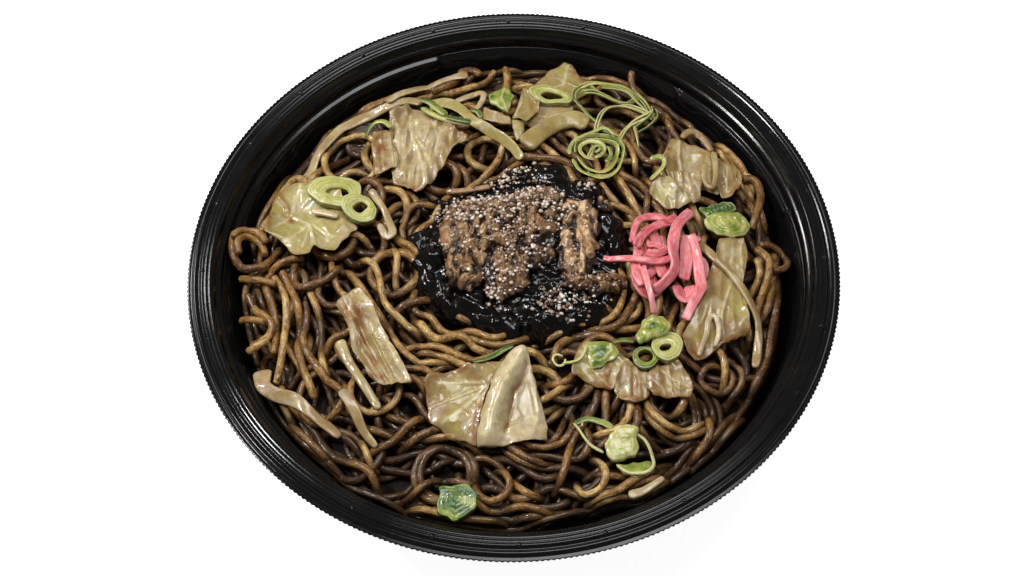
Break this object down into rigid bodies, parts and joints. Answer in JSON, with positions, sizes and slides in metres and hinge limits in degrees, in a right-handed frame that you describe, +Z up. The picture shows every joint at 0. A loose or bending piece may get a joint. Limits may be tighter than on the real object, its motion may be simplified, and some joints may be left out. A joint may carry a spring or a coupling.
{
  "type": "yakisoba in a takeaway bowl",
  "caption": "Fried noodles heaped in a round black takeaway bowl with a stepped rim, topped with cabbage, spring onion, black sauce, peppered meat and pink pickled ginger.",
  "frame": {"origin": "middle of the bowl's foot, at the height of the surface it stands on, which is the bottom centre of the bounding box", "axes": "+Z up out of the bowl, -Y towards the eater, +X to the eater's right"},
  "size_m": [0.2, 0.2, 0.0646],
  "materials": {
    "bowl": "black moulded plastic with a soft satin gloss, finely ringed on the rim",
    "noodle": "tan brown fried noodle, oily and slightly rough",
    "cabbage": "wilted cabbage, wet, pale and a little see-through, browned at folds",
    "onion": "fresh spring onion, lime green with paler cut faces",
    "meat": "brown wrinkled fried meat under coarse pale pepper",
    "sauce": "black lumpy sauce, wet and shiny",
    "ginger": "salmon pink pickled ginger, moist and slightly see-through"
  },
  "bodies": {
    "root": {"bowl": "bowl", "noodle_heap": "noodle", "black_sauce": "sauce", "meat_main": "meat", "meat_round": "meat", "meat_folds": "meat", "meat_slice": "meat", "meat_scrap": "meat", "meat_strip": "meat", "pickled_ginger": "ginger", "cabbage_back_left": "cabbage", "cabbage_back_left_fold": "cabbage", "cabbage_left": "cabbage", "cabbage_front_left": "cabbage", "cabbage_front_fan": "cabbage", "cabbage_front_right": "cabbage", "cabbage_front_right_fold": "cabbage", "cabbage_right": "cabbage", "cabbage_back_right": "cabbage", "cabbage_back_right_wet": "cabbage", "cabbage_back_right_end": "cabbage", "cabbage_behind_ginger": "cabbage", "cabbage_back": "cabbage", "cabbage_back_stalk": "cabbage", "cabbage_front_rib": "cabbage", "cabbage_strip_back_left": "cabbage", "cabbage_strip_back": "cabbage", "cabbage_strip_folded": "cabbage", "cabbage_strip_outer_left": "cabbage", "cabbage_stick_left": "cabbage", "cabbage_stick_front": "cabbage", "cabbage_stub_front": "cabbage", "cabbage_curl_back": "cabbage", "cabbage_edge_back_right": "cabbage", "cabbage_rib_back": "cabbage", "cabbage_long_green": "cabbage", "cabbage_sliver_left": "cabbage", "cabbage_strip_right": "cabbage", "cabbage_loop_right": "cabbage", "cabbage_loop_back_right": "cabbage", "onion_ring_left": "onion", "onion_ring_left_small": "onion", "onion_ring_back": "onion", "onion_ring_front_right": "onion", "onion_ring_front_dark": "onion", "onion_slice_back_left": "onion", "onion_hook_right": "onion", "onion_arc_front": "onion", "onion_arc_front_right": "onion", "onion_sliver_front": "onion", "onion_curls_back_right": "onion", "onion_leaf_back": "onion", "onion_slice_right_top": "onion", "onion_slice_right": "onion", "onion_mash_front": "onion", "onion_skin_front": "onion", "onion_cup_front": "onion", "onion_end_front": "onion"}
  },
  "joints": []
}
